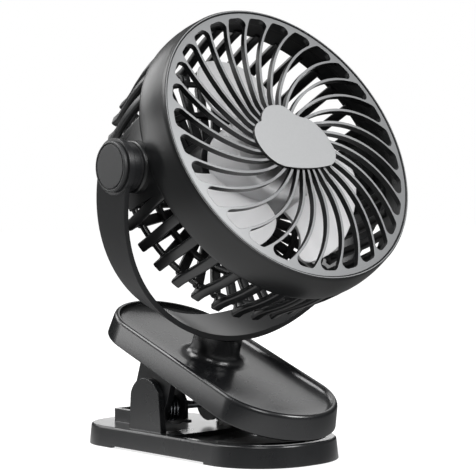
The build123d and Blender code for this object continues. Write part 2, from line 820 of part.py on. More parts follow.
with BuildPart() as yoke:
    with BuildSketch(front_plane(yoke_frame)):
        Circle(yoke_outer_radius)
        Circle(yoke_inner_radius, mode=Mode.SUBTRACT)
        with Locations((0, yoke_outer_radius)):
            Rectangle(4 * yoke_outer_radius, 2 * yoke_outer_radius, mode=Mode.SUBTRACT)
    extrude(amount=yoke_saddle_half + 2, both=True)
    with BuildSketch(side_plane(yoke_frame, -eye_outer_x)):
        yoke_side_profile()
    extrude(amount=2 * eye_outer_x, mode=Mode.INTERSECT)
    for eye_x in (yoke_inner_radius - 0.2, -eye_outer_x):
        with BuildSketch(side_plane(yoke_frame, eye_x)):
            Circle(eye_radius)
        extrude(amount=eye_outer_x - yoke_inner_radius + 0.2)
    for boss_x in (eye_inner_x, -yoke_inner_radius - 0.2):
        with BuildSketch(side_plane(yoke_frame, boss_x)):
            Circle(eye_boss_radius)
        extrude(amount=yoke_inner_radius - eye_inner_x + 0.2)
    with BuildSketch(frame_at(swivel_frame, z=post_top)):
        Circle(post_radius)
    extrude(amount=saddle_level - post_top + yoke_thickness * 0.6)
    with BuildSketch(frame_at(swivel_frame, z=stub_end)):
        Circle(stub_radius)
    extrude(amount=saddle_level - stub_end + yoke_thickness * 0.5)
    with BuildSketch(frame_at(swivel_frame, z=stub_end)):
        Circle(swivel_screw_radius)
    extrude(amount=swivel_screw_length, mode=Mode.SUBTRACT)
    with BuildSketch(side_plane(yoke_frame, -2 * eye_outer_x)):
        Circle(pivot_radius)
    extrude(amount=4 * eye_outer_x, mode=Mode.SUBTRACT)
yoke.part.label = "yoke"
export_step(yoke.part, "parts/yoke.step")

with BuildPart() as swivel_washer:
    with BuildSketch(frame_at(swivel_frame, z=stub_end - swivel_washer_thickness)):
        Circle(swivel_washer_radius)
        Circle(swivel_screw_radius, mode=Mode.SUBTRACT)
    extrude(amount=swivel_washer_thickness)
swivel_washer.part.label = "swivel_washer"
export_step(swivel_washer.part, "parts/swivel_washer.step")

swivel_head_top = stub_end - swivel_washer_thickness
with BuildPart() as swivel_screw:
    with BuildSketch(frame_at(swivel_frame, z=swivel_head_top - swivel_head_height)):
        Circle(swivel_head_radius)
    extrude(amount=swivel_head_height)
    with BuildSketch(frame_at(swivel_frame, z=swivel_head_top)):
        Circle(swivel_screw_radius)
    extrude(amount=swivel_washer_thickness + swivel_screw_length - seat)
swivel_screw.part.label = "swivel_screw"
export_step(swivel_screw.part, "parts/swivel_screw.step")


# Pivots: profiles are drawn with x along the axle, outwards, and y as the radius
def axle_plane(side):
    """Sketch plane through the axle whose x points outwards on the given side."""
    return Plane(origin=yoke_frame.origin, x_dir=(side, 0, 0), z_dir=yoke_frame.y_dir * -side)


axle_axis = Axis(yoke_frame.origin, (1, 0, 0))


def ring_about_axle(side, inner_x, outer_x, inner_radius, outer_radius, mode=Mode.ADD):
    with BuildSketch(axle_plane(side)) as section:
        with Locations(((inner_x + outer_x) / 2, (inner_radius + outer_radius) / 2)):
            Rectangle(outer_x - inner_x, outer_radius - inner_radius)
    revolve(section.sketch, axis=axle_axis, mode=mode)


clip_outer_x = boss_inner_x - slide
clip_inner_x = clip_outer_x - clip_thickness


def pivot_pin(side):
    ring_about_axle(side, pivot_inner_x, eye_outer_x, pivot_bore_radius, pivot_radius)
    groove_floor = pivot_radius - clip_groove_depth
    ring_about_axle(side, clip_inner_x, clip_outer_x, groove_floor, pivot_radius + 1, Mode.SUBTRACT)


def pivot_clip(side):
    """Retaining ring in the pin's groove, open on one side."""
    groove_floor = pivot_radius - clip_groove_depth
    ring_about_axle(side, clip_inner_x, clip_outer_x, groove_floor, clip_radius)
    with BuildSketch(side_plane(yoke_frame, -2 * clip_outer_x)) as gap:
        with Locations((0, clip_radius)):
            Rectangle(groove_floor * 1.6, 2 * clip_radius)
    extrude(gap.sketch, amount=4 * clip_outer_x, mode=Mode.SUBTRACT)


def pivot_washer(side):
    washer_outer_x = boss_outer_x + (eye_inner_x - boss_outer_x + pivot_washer_thickness) / 2
    washer_inner_x = washer_outer_x - pivot_washer_thickness
    ring_about_axle(side, washer_inner_x, washer_outer_x, pivot_radius, eye_boss_radius - 0.5)


def knob_cap(side):
    """Round cap over the eye, with a groove round its face and a spigot in the hollow pin."""
    ring_about_axle(side, eye_outer_x, knob_face_x, 0, knob_radius)
    chamfer(edges().filter_by(GeomType.CIRCLE).sort_by(Axis.X)[-1 if side > 0 else 0], 0.4)
    groove_in = knob_groove_radius - knob_groove_width / 2
    groove_out = knob_groove_radius + knob_groove_width / 2
    groove_x = knob_face_x - knob_groove_depth
    ring_about_axle(side, groove_x, knob_face_x + 1, groove_in, groove_out, Mode.SUBTRACT)
    ring_about_axle(side, eye_outer_x - knob_spigot_length, eye_outer_x, 0, pivot_bore_radius)


for side_name, side_sign in (("near", -1), ("far", 1)):
    with BuildPart() as pin_solid:
        pivot_pin(side_sign)
    pin_solid.part.label = side_name + "_pivot_pin"
    export_step(pin_solid.part, "parts/" + side_name + "_pivot_pin.step")
    with BuildPart() as clip_solid:
        pivot_clip(side_sign)
    clip_solid.part.label = side_name + "_pivot_clip"
    export_step(clip_solid.part, "parts/" + side_name + "_pivot_clip.step")
    with BuildPart() as washer_solid:
        pivot_washer(side_sign)
    washer_solid.part.label = side_name + "_pivot_washer"
    export_step(washer_solid.part, "parts/" + side_name + "_pivot_washer.step")
    with BuildPart() as knob_solid:
        knob_cap(side_sign)
    knob_solid.part.label = side_name + "_knob_cap"
    export_step(knob_solid.part, "parts/" + side_name + "_knob_cap.step")


# Head: profiles are drawn with x as the radius and y along the head's axis, forwards
def behind(depth):
    """Height on the head's axis of a depth behind the rim's front plane."""
    return head_face - depth


head_profile_plane = front_plane(head_frame)


def head_ring(inner_radius, outer_radius, front_depth, rear_depth, mode=Mode.ADD):
    with BuildSketch(head_profile_plane) as section:
        with Locations(((inner_radius + outer_radius) / 2, behind((front_depth + rear_depth) / 2))):
            Rectangle(outer_radius - inner_radius, rear_depth - front_depth)
    revolve(section.sketch, axis=head_axis, mode=mode)


def shell_flank(inset, forwards=False):
    """The shell's side from rim to shoulder, drawn in by the inset."""
    rim = (rim_radius - inset, behind(0))
    belly = (belly_radius - inset, behind(belly_depth))
    waist = (waist_radius - inset, behind(waist_depth))
    flank = (flank_radius - inset, behind(flank_depth))
    shoulder = (shoulder_radius - inset, behind(shoulder_depth))
    if forwards:
        ThreePointArc(shoulder, flank, waist)
        ThreePointArc(waist, belly, rim)
    else:
        ThreePointArc(rim, belly, waist)
        ThreePointArc(waist, flank, shoulder)


def shell_wall_face():
    """Section of the shell's wall from the rim to the shoulder."""
    with BuildLine() as outline:
        shell_flank(0)
        Line(
            (shoulder_radius, behind(shoulder_depth)),
            (shoulder_radius - shell_wall, behind(shoulder_depth)),
        )
        shell_flank(shell_wall, forwards=True)
        Line((rim_radius - shell_wall, behind(0)), (rim_radius, behind(0)))
    make_face(outline.edges())


def spoke_depth(radius):
    """Depth of the spokes' rear side at a radius; they slope from the sunken legs to the hub plate."""
    return cage_depth - knuckle_bend * (radius - hub_plate_radius) / (leg_in_radius - hub_plate_radius)


def bar_face():
    """Outline of one cage bar: along the flank, round a hairpin knuckle and in along its spoke."""
    middle = behind(knuckle_depth)
    flank_in = waist_radius - bar_height
    knuckle_out = (knuckle_radius + knuckle_bend, middle)
    knuckle_in = (leg_in_radius, middle)
    bore_out = (knuckle_radius + knuckle_bore, middle)
    bore_in = (leg_out_radius, middle)
    hub_rear = (hub_plate_radius, behind(cage_depth))
    hub_front = (hub_plate_radius, behind(cage_depth - spoke_thickness))
    root_rear = (hub_plate_radius - 2, behind(cage_depth))
    root_front = (hub_plate_radius - 2, behind(cage_depth - spoke_thickness))
    with BuildLine() as outline:
        ThreePointArc(
            (waist_radius, behind(waist_depth)),
            (flank_radius, behind(flank_depth)),
            (shoulder_radius, behind(shoulder_depth)),
        )
        Line((shoulder_radius, behind(shoulder_depth)), knuckle_out)
        ThreePointArc(knuckle_out, (knuckle_radius, behind(cage_depth)), knuckle_in)
        Polyline(knuckle_in, hub_rear, root_rear, root_front, hub_front)
        Polyline(hub_front, (leg_out_radius, behind(leg_end_depth)), bore_in)
        ThreePointArc(bore_in, (knuckle_radius, middle - knuckle_bore), bore_out)
        Polyline(
            bore_out,
            (shoulder_radius - bar_height, behind(shoulder_depth)),
            (flank_radius - bar_height, behind(flank_depth)),
            (flank_in, behind(waist_depth)),
            (waist_radius, behind(waist_depth)),
        )
    make_face(outline.edges())


def front_bar_face():
    """Outline of one cage bar between the band and the waist."""
    with BuildLine() as outline:
        ThreePointArc(
            (rim_radius, behind(0)), (belly_radius, behind(belly_depth)), (waist_radius, behind(waist_depth))
        )
        Line((waist_radius, behind(waist_depth)), (waist_radius - bar_height, behind(waist_depth)))
        Line((waist_radius - bar_height, behind(waist_depth)), (rim_radius - bar_height, behind(0)))
        Line((rim_radius - bar_height, behind(0)), (rim_radius, behind(0)))
    make_face(outline.edges())
    with Locations((rim_radius, behind(0))):
        Rectangle(4 * bar_height, 2 * (band_depth - 1), mode=Mode.SUBTRACT)


with BuildPart() as cage_bar:
    with BuildSketch(Plane.XZ):
        bar_face()
    extrude(amount=bar_width / 2, both=True)
    with BuildSketch(Plane.XZ):
        front_bar_face()
    extrude(amount=bar_width / 2, both=True)

with BuildPart(head_frame) as rear_housing:
    with BuildSketch(head_profile_plane):
        shell_wall_face()
    revolve(axis=head_axis)
    slot_depth = cage_depth - band_depth
    with BuildSketch(frame_at(head_frame, z=behind(cage_depth))):
        Circle(belly_radius + 5)
        Circle(shoulder_radius - shell_wall - 8, mode=Mode.SUBTRACT)
        for panel_angle in (0, 180):
            with BuildLine():
                reach = 2 * belly_radius
                start = math.radians(panel_angle - panel_half_angle)
                end = math.radians(panel_angle + panel_half_angle)
                Polyline(
                    (0, 0),
                    (reach * math.cos(start), reach * math.sin(start)),
                    (reach * math.cos(end), reach * math.sin(end)),
                    close=True,
                )
            make_face(mode=Mode.SUBTRACT)
    extrude(amount=slot_depth, mode=Mode.SUBTRACT)
    with PolarLocations(0, bar_count, start_angle=180 / bar_count):
        add(cage_bar.part)
    head_ring(
        leg_out_radius - outer_ring_width,
        leg_out_radius,
        leg_end_depth + ring_set_in,
        knuckle_depth - ring_set_in,
    )
    middle_ring_rear = spoke_depth(middle_ring_radius) - ring_set_in
    head_ring(
        middle_ring_radius - middle_ring_width / 2,
        middle_ring_radius + middle_ring_width / 2,
        middle_ring_rear - spoke_thickness + 2 * ring_set_in,
        middle_ring_rear,
    )
    head_ring(0, hub_plate_radius, cage_depth - spoke_thickness, cage_depth)
    ledge_outer = rim_radius - lip_width / 2
    head_ring(ledge_outer - ledge_width, ledge_outer, ledge_depth, ledge_depth + ledge_thickness)
    head_ring(rim_radius - shell_wall - 3, rim_radius - lip_width, -1, ledge_depth, Mode.SUBTRACT)
    for boss_side in (-1, 1):
        with BuildSketch(side_plane(yoke_frame, min(boss_side * boss_inner_x, boss_side * boss_outer_x))):
            Circle(boss_radius)
        extrude(amount=boss_outer_x - boss_inner_x)
    with BuildSketch(side_plane(yoke_frame, -2 * boss_outer_x)):
        Circle(pivot_radius + running)
    extrude(amount=4 * boss_outer_x, mode=Mode.SUBTRACT)
    with BuildSketch(side_plane(yoke_frame, -boss_inner_x)):
        Circle(clip_radius + 2 * seat)
    extrude(amount=2 * boss_inner_x, mode=Mode.SUBTRACT)
    with BuildSketch(frame_at(head_frame, z=behind(cage_depth))):
        with PolarLocations(pod_screw_circle, pod_screw_count):
            Circle(screw_radius + running)
    extrude(amount=spoke_thickness, mode=Mode.SUBTRACT)
    with BuildSketch(frame_at(head_frame, z=behind(cage_depth))):
        with PolarLocations(pod_screw_circle, pod_screw_count):
            Circle(screw_head_radius + slide)
    extrude(amount=screw_head_height, mode=Mode.SUBTRACT)
rear_housing.part.label = "rear_housing"
export_step(rear_housing.part, "parts/rear_housing.step")


# Front grille
def turned_point(radius, turn):
    """Point on the face at a radius and an angle in degrees, clockwise from the top."""
    angle = math.radians(turn)
    return (radius * math.sin(angle), radius * math.cos(angle))


def rib_edge(shift, outer_radius, inner_radius):
    """One side of a rib, shifted sideways from its middle line."""
    outer = turned_point(outer_radius, rib_phase + math.degrees(shift / outer_radius))
    middle = turned_point(rib_mid_radius, rib_phase + rib_mid_turn + math.degrees(shift / rib_mid_radius))
    inner = turned_point(inner_radius, rib_phase + rib_inner_turn + math.degrees(shift / inner_radius))
    return outer, middle, inner


grille_window_radius = grille_radius - grille_rim_width
with BuildSketch() as rib_sketch:
    left_edge = rib_edge(-rib_width / 2, grille_window_radius + 1, grille_hub_radius - 0.6)
    right_edge = rib_edge(rib_width / 2, grille_window_radius + 1, grille_hub_radius - 0.6)
    with BuildLine():
        ThreePointArc(*left_edge)
        Line(left_edge[2], right_edge[2])
        ThreePointArc(right_edge[2], right_edge[1], right_edge[0])
        Line(right_edge[0], left_edge[0])
    make_face()


def grille_section():
    """Section of the domed grille plate, from its middle out to its rim."""
    flat = behind(grille_sink / 2)
    crown_radius = (grille_flat_radius + grille_radius) / 2
    rim = behind(grille_sink)
    with BuildLine() as outline:
        Line((0, flat), (grille_flat_radius, flat))
        ThreePointArc(
            (grille_flat_radius, flat), (crown_radius, behind(-grille_crown)), (grille_radius, rim)
        )
        Line((grille_radius, rim), (grille_radius, behind(ledge_depth)))
        Line((grille_radius, behind(ledge_depth)), (grille_window_radius, behind(ledge_depth)))
        Line(
            (grille_window_radius, behind(ledge_depth)),
            (grille_window_radius, behind(grille_thickness)),
        )
        ThreePointArc(
            (grille_window_radius, behind(grille_thickness)),
            (crown_radius, behind(grille_thickness - grille_crown)),
            (grille_flat_radius, flat - grille_thickness),
        )
        Line((grille_flat_radius, flat - grille_thickness), (0, flat - grille_thickness))
        Line((0, flat - grille_thickness), (0, flat))
    make_face(outline.edges())


with BuildPart(head_frame) as front_grille:
    with BuildSketch(side_plane(head_frame)):
        grille_section()
    revolve(axis=head_axis)
    with BuildSketch(frame_at(head_frame, z=behind(2 * ledge_depth))) as windows:
        Circle(grille_window_radius)
        Circle(grille_hub_radius, mode=Mode.SUBTRACT)
        with PolarLocations(0, rib_count):
            add(rib_sketch.sketch, mode=Mode.SUBTRACT)
        outer_corners = vertices().filter_by(
            lambda corner: math.hypot(corner.X, corner.Y) > grille_window_radius - 0.1
        )
        fillet(outer_corners, slot_corner_radius)
    extrude(amount=4 * ledge_depth, mode=Mode.SUBTRACT)
front_grille.part.label = "front_grille"
export_step(front_grille.part, "parts/front_grille.step")

badge_plane = frame_at(head_frame, z=behind(grille_sink / 2))
with BuildPart() as centre_badge:
    with BuildSketch(badge_plane):
        with BuildLine():
            ThreePointArc((-16.9, 9.4), (-12.6, 15.9), (-4.4, 18.6))
            ThreePointArc((-4.4, 18.6), (0.8, 17.9), (4.3, 15.3))
            ThreePointArc((4.3, 15.3), (8.4, 12.9), (13.0, 12.2))
            ThreePointArc((13.0, 12.2), (19.6, 7.3), (24.0, -1.9))
            ThreePointArc((24.0, -1.9), (23.9, -9.2), (18.2, -13.7))
            ThreePointArc((18.2, -13.7), (4.0, -15.4), (-10.2, -14.8))
            ThreePointArc((-10.2, -14.8), (-20.4, -8.6), (-23.8, 1.5))
            ThreePointArc((-23.8, 1.5), (-21.6, 6.7), (-16.9, 9.4))
        make_face()
    extrude(amount=badge_thickness)
centre_badge.part.label = "centre_badge"
export_step(centre_badge.part, "parts/centre_badge.step")


# Fan
def blade_section(turn):
    """Section of the blade's screw surface at a turn clockwise from the blade's middle."""
    angle = math.radians(turn)
    across = Plane(
        origin=(0, 0, 0),
        x_dir=(math.sin(angle), math.cos(angle), 0),
        z_dir=(math.cos(angle), -math.sin(angle), 0),
    )
    root = fan_hub_radius - 2 * fan_hub_wall
    tip = blade_tip_radius + 1
    front = behind(blade_middle_depth + blade_pitch * turn / 360) + blade_thickness / 2
    rear = front - blade_thickness
    with BuildSketch(across) as section:
        with BuildLine() as outline:
            ThreePointArc((root, front), ((root + tip) / 2, front + blade_cup / 4), (tip, front + blade_cup))
            Line((tip, front + blade_cup), (tip, rear + blade_cup))
            ThreePointArc((tip, rear + blade_cup), ((root + tip) / 2, rear + blade_cup / 4), (root, rear))
            Line((root, rear), (root, front))
        make_face(outline.edges())
    return section.sketch


def blade_point(share, turn):
    """Point of the blade's outline: share of the way from hub to tip, and turn from its middle."""
    return turned_point(fan_hub_radius + share * (blade_tip_radius - fan_hub_radius), turn)


with BuildPart() as fan_blade:
    loft([blade_section(section_turn) for section_turn in (-50, -25, 0, 25, 50)])
    with BuildSketch(Plane.XY.offset(behind(cage_depth))):
        with BuildLine():
            outline_points = [blade_point(*place) for place in blade_outline]
            Spline(*outline_points)
            Line(outline_points[-1], outline_points[0])
        make_face()
        Circle(fan_hub_radius - fan_hub_wall / 2, mode=Mode.SUBTRACT)
    extrude(amount=cage_depth, mode=Mode.INTERSECT)

with BuildPart(head_frame) as impeller:
    head_ring(0, fan_hub_radius, fan_hub_front, fan_hub_rear)
    fillet(edges().group_by(head_axis)[-1], fan_hub_fillet)
    cup_front = fan_hub_front + fan_hub_wall
    head_ring(0, fan_hub_radius - fan_hub_wall, cup_front, fan_hub_rear, Mode.SUBTRACT)
    head_ring(0, bush_radius + 1.5, fan_hub_front + 0.5, shaft_front_depth + bush_length)
    head_ring(0, bush_radius, shaft_front_depth, shaft_front_depth + bush_length, Mode.SUBTRACT)
    with PolarLocations(0, blade_count, start_angle=blade_phase):
        add(fan_blade.part)
impeller.part.label = "impeller"
export_step(impeller.part, "parts/impeller.step")

with BuildPart() as shaft_bush:
    head_ring(shaft_radius, bush_radius, shaft_front_depth, shaft_front_depth + bush_length)
shaft_bush.part.label = "shaft_bush"
export_step(shaft_bush.part, "parts/shaft_bush.step")

with BuildPart() as motor_shaft:
    head_ring(0, shaft_radius, shaft_front_depth, shaft_rear_depth)
motor_shaft.part.label = "motor_shaft"
export_step(motor_shaft.part, "parts/motor_shaft.step")

# Motor
with BuildPart() as motor_can:
    head_ring(shaft_radius + running, motor_radius, motor_front_depth, motor_rear_depth)
    head_ring(bush_radius, motor_radius - 1.2, motor_front_depth + 1.2, motor_rear_depth, Mode.SUBTRACT)
motor_can.part.label = "motor_can"
export_step(motor_can.part, "parts/motor_can.step")

with BuildPart() as motor_end_cap:
    cap_rear = motor_rear_depth + motor_cap_thickness
    head_ring(shaft_radius + running, motor_radius, motor_rear_depth, cap_rear)
motor_end_cap.part.label = "motor_end_cap"
export_step(motor_end_cap.part, "parts/motor_end_cap.step")

pod_rear = cage_depth - spoke_thickness
with BuildPart() as motor_pod:
    head_ring(motor_radius, motor_radius + pod_wall, pod_front_depth, driver_depth)
    head_ring(driver_radius + slide, driver_radius + pod_wall, driver_depth - 1, pod_rear)
    head_ring(motor_radius, driver_radius + pod_wall, driver_depth - 2, driver_depth)
    head_ring(driver_radius + slide, pod_drum_radius, pod_rear - pod_flange_thickness, pod_rear)
    head_ring(motor_radius + pod_wall / 2, pod_drum_radius, pod_drum_front, pod_drum_front + pod_wall / 2)
    head_ring(pod_drum_radius - pod_wall / 2, pod_drum_radius, pod_drum_front, pod_rear)
    with BuildSketch(frame_at(head_frame, z=behind(pod_rear))):
        with PolarLocations(pod_screw_circle, pod_screw_count):
            Circle(screw_radius + running)
    extrude(amount=pod_flange_thickness, mode=Mode.SUBTRACT)
motor_pod.part.label = "motor_pod"
export_step(motor_pod.part, "parts/motor_pod.step")

with BuildPart() as driver_board:
    head_ring(0, driver_radius, driver_depth, driver_depth + driver_thickness)
driver_board.part.label = "driver_board"
export_step(driver_board.part, "parts/driver_board.step")

pod_screw_length = spoke_thickness + pod_flange_thickness - seat
pod_screw_plane = frame_at(head_frame, z=behind(cage_depth))
with BuildPart() as pod_screws:
    with BuildSketch(pod_screw_plane):
        with PolarLocations(pod_screw_circle, pod_screw_count):
            Circle(screw_head_radius)
    extrude(amount=screw_head_height)
    with BuildSketch(pod_screw_plane):
        with PolarLocations(pod_screw_circle, pod_screw_count):
            Circle(screw_radius)
    extrude(amount=pod_screw_length)
pod_screws.part.label = "pod_screws"
export_step(pod_screws.part, "parts/pod_screws.step")

with BuildPart() as rear_hub_cap:
    head_ring(0, hub_plate_radius, cage_depth, cage_depth + hub_cap_thickness)
    fillet(edges().group_by(head_axis)[0], hub_cap_thickness * 0.6)
rear_hub_cap.part.label = "rear_hub_cap"
export_step(rear_hub_cap.part, "parts/rear_hub_cap.step")
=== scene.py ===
import json
import math

import bpy
from mathutils import Matrix, Vector


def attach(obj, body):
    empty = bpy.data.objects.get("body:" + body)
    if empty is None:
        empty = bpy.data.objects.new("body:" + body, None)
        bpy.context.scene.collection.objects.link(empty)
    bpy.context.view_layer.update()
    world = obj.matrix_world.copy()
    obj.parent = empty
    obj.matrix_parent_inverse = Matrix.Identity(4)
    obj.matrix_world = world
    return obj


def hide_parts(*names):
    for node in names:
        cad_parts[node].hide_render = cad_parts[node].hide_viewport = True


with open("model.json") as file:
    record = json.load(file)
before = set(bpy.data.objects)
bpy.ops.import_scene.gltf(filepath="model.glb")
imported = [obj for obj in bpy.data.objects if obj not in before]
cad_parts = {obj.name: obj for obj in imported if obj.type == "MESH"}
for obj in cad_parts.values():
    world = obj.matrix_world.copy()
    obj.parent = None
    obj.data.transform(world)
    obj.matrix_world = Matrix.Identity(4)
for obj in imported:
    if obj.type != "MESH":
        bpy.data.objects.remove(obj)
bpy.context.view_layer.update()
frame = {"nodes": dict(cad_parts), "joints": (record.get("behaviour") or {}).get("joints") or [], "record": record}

nodes = frame["nodes"]
joints = {joint["name"]: joint for joint in frame["joints"]}
mm = 0.001
merge_distance = 0.00001


def frame_at(middle, x_axis, y_axis, z_axis):
    """The place of a frame that has its middle at a point and its axes in three directions."""
    return Matrix.Translation(middle) @ Matrix((x_axis, y_axis, z_axis)).transposed().to_4x4()


# The head's own frame: its middle lies on the tilt axle, and its Z looks out through the grille.
head_middle = Vector(joints["head_tilt"]["pos_m"])
head_axis = Vector(joints["fan_spin"]["axis"])
head_up = Vector((0, head_axis.z, -head_axis.y))
head_place = frame_at(head_middle, (1, 0, 0), head_up, head_axis)

# ---------------------------------------------------------------- camera
# Fitted to the photo by the rim, the near knob and both jaws.
camera_place = Vector((-0.498452, -0.617757, 0.115972))
camera_right = Vector((0.766263, -0.642411, -0.012181))
camera_back = Vector((-0.642331, -0.766360, 0.010170))
camera_data = bpy.data.cameras.new("studio_camera")
camera_data.lens = 117.12
camera_data.sensor_width = 36.0
camera_data.clip_start = 0.01
camera_data.clip_end = 50.0
camera = bpy.data.objects.new("studio_camera", camera_data)
bpy.context.scene.collection.objects.link(camera)
camera.matrix_world = frame_at(camera_place, camera_right, camera_back.cross(camera_right), camera_back)
bpy.context.scene.camera = camera


# ---------------------------------------------------------------- shader nodes
def set_input(tree, socket, value):
    """Give an input a link from another socket, or a plain value."""
    if isinstance(value, bpy.types.NodeSocket):
        tree.links.new(value, socket)
    else:
        socket.default_value = value


def feed(tree, node, *ordered, **named):
    """Give a node's inputs, in order or by name, what they take."""
    for number, value in enumerate(ordered):
        set_input(tree, node.inputs[number], value)
    for label, value in named.items():
        set_input(tree, node.inputs[label.replace("_", " ")], value)


def add_node(tree, kind, *ordered, operation=None, **named):
    """A new node, with its operation if it has one, and what it is fed with."""
    node = tree.nodes.new(kind)
    if operation:
        node.operation = operation
    feed(tree, node, *ordered, **named)
    return node


def place_group(tree, group, **named):
    """A node group placed in a finish, with what it is fed with."""
    node = tree.nodes.new("ShaderNodeGroup")
    node.node_tree = group
    feed(tree, node, **named)
    return node


def ranged(tree, value, reach, result, smooth=True):
    """A value carried over from its reach to a range of results, and held at their ends."""
    node = add_node(tree, "ShaderNodeMapRange", Value=value, From_Min=reach[0], From_Max=reach[1],
                    To_Min=result[0], To_Max=result[1])
    node.interpolation_type = "SMOOTHSTEP" if smooth else "LINEAR"
    return node.outputs["Result"]


def mixed(tree, mask, base, other, kind="FLOAT"):
    """What goes from one socket or value to another by a mask: a number, or with RGBA a colour."""
    mix = add_node(tree, "ShaderNodeMix", Factor=mask)
    mix.data_type = kind
    # The node's sockets share their names between the kinds, so they are taken by number.
    first, result = {"FLOAT": (2, 0), "RGBA": (6, 2)}[kind]
    set_input(tree, mix.inputs[first], base)
    set_input(tree, mix.inputs[first + 1], other)
    return mix.outputs[result]


def opaque(colour):
    """A colour of three parts with its full alpha."""
    return (*colour, 1)


def new_finish(name):
    """An empty finish: its tree, its shader and its texture coordinates."""
    finish = bpy.data.materials.new(name)
    finish.use_nodes = True
    tree = finish.node_tree
    tree.nodes.clear()
    shader = tree.nodes.new("ShaderNodeBsdfPrincipled")
    add_node(tree, "ShaderNodeOutputMaterial", Surface=shader.outputs["BSDF"])
    return finish, tree, shader, tree.nodes.new("ShaderNodeTexCoord")


# ---------------------------------------------------------------- studio
white = (1, 1, 1, 1)
bpy.context.scene.view_settings.view_transform = "Standard"
bpy.context.scene.view_settings.look = "None"


def studio_world():
    """White behind the object for the camera, and a fill that grows with height for all other rays."""
    world = bpy.data.worlds.new("studio_world")
    world.use_nodes = True
    tree = world.node_tree
    tree.nodes.clear()
    way = tree.nodes.new("ShaderNodeTexCoord")
    split = add_node(tree, "ShaderNodeSeparateXYZ", way.outputs["Generated"])
    strength = ranged(tree, split.outputs["Z"], reach=(0.05, 0.95), result=(0.02, 0.30))
    fill = add_node(tree, "ShaderNodeBackground", Color=white, Strength=strength)
    seen = add_node(tree, "ShaderNodeBackground", Color=white, Strength=1.0)
    path = tree.nodes.new("ShaderNodeLightPath")
    mix = add_node(tree, "ShaderNodeMixShader", path.outputs["Is Camera Ray"],
                   fill.outputs["Background"], seen.outputs["Background"])
    add_node(tree, "ShaderNodeOutputWorld", Surface=mix.outputs["Shader"])
    return world


def softbox(name, place, aim, width, height, power):
    """A large soft lamp that looks at a point."""
    data = bpy.data.lights.new(name, "AREA")
    data.shape = "RECTANGLE"
    data.size = width
    data.size_y = height
    data.energy = power
    lamp = bpy.data.objects.new(name, data)
    bpy.context.scene.collection.objects.link(lamp)
    lamp.location = place
    lamp.visible_camera = False
    lamp.rotation_euler = (Vector(place) - Vector(aim)).to_track_quat("Z", "Y").to_euler()


def pale_floor():
    """The floor's finish: near the base it glows, a painted pool of light that shines on the object, and it looks
    white to the camera further out.
    """
    finish, tree, shader, place = new_finish("pale_floor")
    path = tree.nodes.new("ShaderNodeLightPath")
    camera_ray = path.outputs["Is Camera Ray"]
    from_middle = add_node(tree, "ShaderNodeVectorMath", place.outputs["Object"], operation="LENGTH")
    sweep = ranged(tree, from_middle.outputs["Value"], reach=(0.12, 0.5), result=(0.80, 1.0))
    # Painted pool of light: to all rays but the camera's, the floor glows beside the base's front left, and its
    # colour is darker.
    from_pool = add_node(tree, "ShaderNodeVectorMath", place.outputs["Object"], (-0.12, -0.03, 0),
                         operation="DISTANCE")
    painted_light_pool = ranged(tree, from_pool.outputs["Value"], reach=(0.06, 0.24), result=(0.80, 0.08))
    tone = mixed(tree, camera_ray, opaque((0.08, 0.08, 0.08)), opaque((0.35, 0.35, 0.35)), kind="RGBA")
    feed(tree, shader, Base_Color=tone, Roughness=0.7, Emission_Color=white,
         Emission_Strength=mixed(tree, camera_ray, painted_light_pool, sweep))
    return finish


bpy.context.scene.world = studio_world()
softbox("back_softbox", (-0.15, 1.05, 0.70), (0, -0.03, 0.14), width=0.70, height=0.36, power=2.4)
softbox("right_softbox", (0.79, 0.60, 0.62), (0, -0.05, 0.03), width=0.50, height=0.50, power=0.75)
softbox("low_softbox", (0.84, 0.98, 0.12), (0, 0, 0.02), width=0.50, height=0.20, power=0.80)
softbox("side_softbox", (-0.85, 0.90, 0.38), (0, -0.03, 0.10), width=0.70, height=0.42, power=3.1)
softbox("top_softbox", (-0.45, 0.45, 1.10), (0, -0.03, 0.13), width=0.70, height=0.70, power=11.0)
softbox("key_softbox", (-0.75, -0.75, 0.85), (0, -0.03, 0.10), width=0.45, height=0.45, power=5.2)
softbox("front_softbox", (0.25, -1.00, 0.75), (0, -0.05, 0.13), width=0.50, height=0.50, power=12.0)

floor_width = 40
floor_drop = 0.2 * mm
bpy.ops.object.select_all(action="DESELECT")
bpy.ops.mesh.primitive_plane_add(size=floor_width, location=(0, 0, -floor_drop))
floor = bpy.context.active_object
floor.name = "studio_floor"
floor.data.materials.append(pale_floor())


# ---------------------------------------------------------------- finishes
def new_group(name, takes, gives):
    """A node group with its sockets: the group, its input node and its output node."""
    group = bpy.data.node_groups.new(name, "ShaderNodeTree")
    for label, kind, value in takes:
        socket = group.interface.new_socket(label, in_out="INPUT", socket_type="NodeSocket" + kind)
        if value is not None:
            socket.default_value = value
    for label, kind in gives:
        group.interface.new_socket(label, in_out="OUTPUT", socket_type="NodeSocket" + kind)
    return group, group.nodes.new("NodeGroupInput"), group.nodes.new("NodeGroupOutput")


